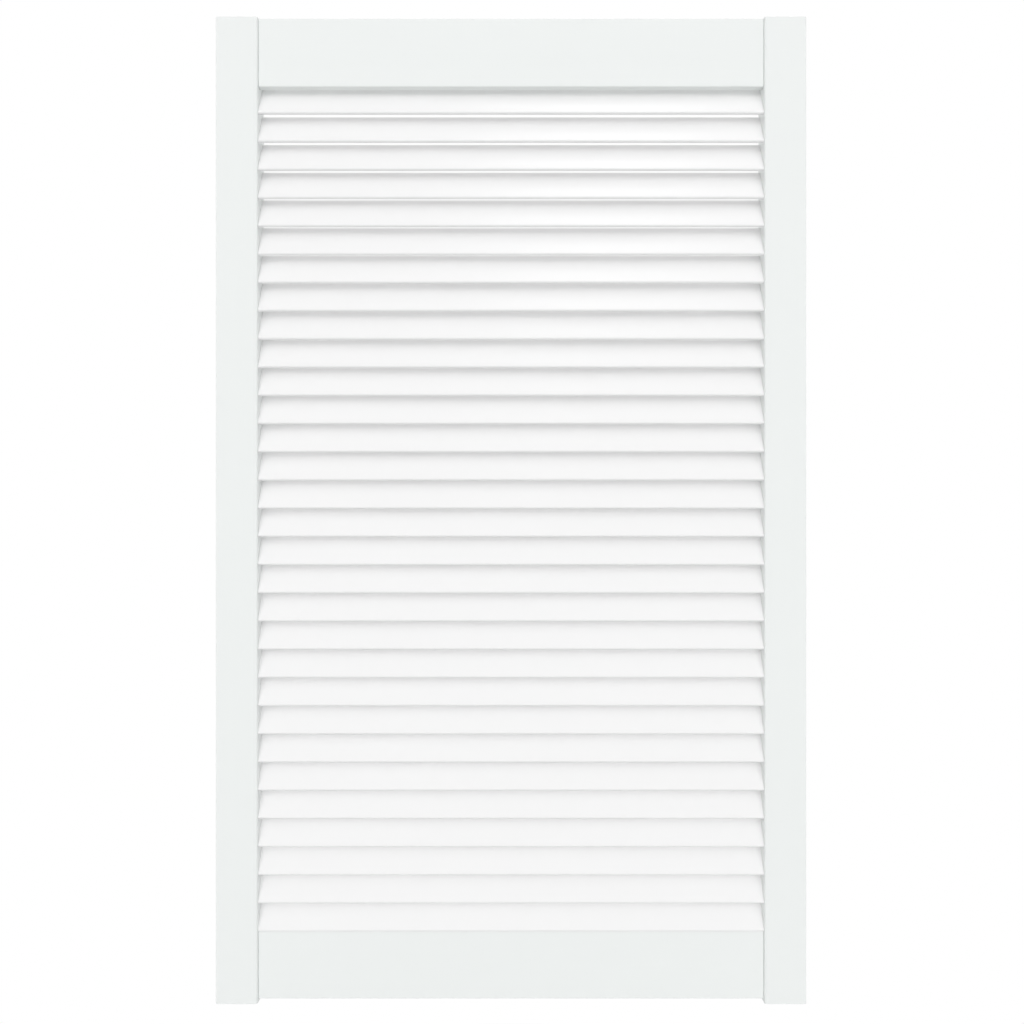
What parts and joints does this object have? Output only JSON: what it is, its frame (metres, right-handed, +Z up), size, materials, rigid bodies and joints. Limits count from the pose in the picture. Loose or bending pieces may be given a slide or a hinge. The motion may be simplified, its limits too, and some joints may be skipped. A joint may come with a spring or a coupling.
{
  "type": "louvred wardrobe door",
  "caption": "White louvred wardrobe door leaf: two stiles and two set-back rails, dowelled at the corners, hold fixed slanted slats whose ends stand in blind housings.",
  "frame": {"origin": "middle of the leaf's bottom edge, at mid thickness", "axes": "+Z up the leaf, +X to the right seen from the front, +Y from the front face to the back face"},
  "size_m": [0.594, 0.021, 0.993],
  "materials": {
    "frame_paint": "softwood under smooth white satin lacquer, very slightly cool",
    "slat_paint": "softwood under smooth neutral white lacquer, a little glossier than the frame",
    "dowel_wood": "bare turned beech"
  },
  "bodies": {
    "root": {"stile_left": "frame_paint", "stile_right": "frame_paint", "top_rail": "frame_paint", "bottom_rail": "frame_paint", "slat_01": "slat_paint", "slat_02": "slat_paint", "slat_03": "slat_paint", "slat_04": "slat_paint", "slat_05": "slat_paint", "slat_06": "slat_paint", "slat_07": "slat_paint", "slat_08": "slat_paint", "slat_09": "slat_paint", "slat_10": "slat_paint", "slat_11": "slat_paint", "slat_12": "slat_paint", "slat_13": "slat_paint", "slat_14": "slat_paint", "slat_15": "slat_paint", "slat_16": "slat_paint", "slat_17": "slat_paint", "slat_18": "slat_paint", "slat_19": "slat_paint", "slat_20": "slat_paint", "slat_21": "slat_paint", "slat_22": "slat_paint", "slat_23": "slat_paint", "slat_24": "slat_paint", "slat_25": "slat_paint", "slat_26": "slat_paint", "slat_27": "slat_paint", "slat_28": "slat_paint", "slat_29": "slat_paint", "slat_30": "slat_paint", "dowel_top_upper_left": "dowel_wood", "dowel_top_lower_left": "dowel_wood", "dowel_bottom_upper_left": "dowel_wood", "dowel_bottom_lower_left": "dowel_wood", "dowel_top_upper_right": "dowel_wood", "dowel_top_lower_right": "dowel_wood", "dowel_bottom_upper_right": "dowel_wood", "dowel_bottom_lower_right": "dowel_wood"}
  },
  "joints": []
}
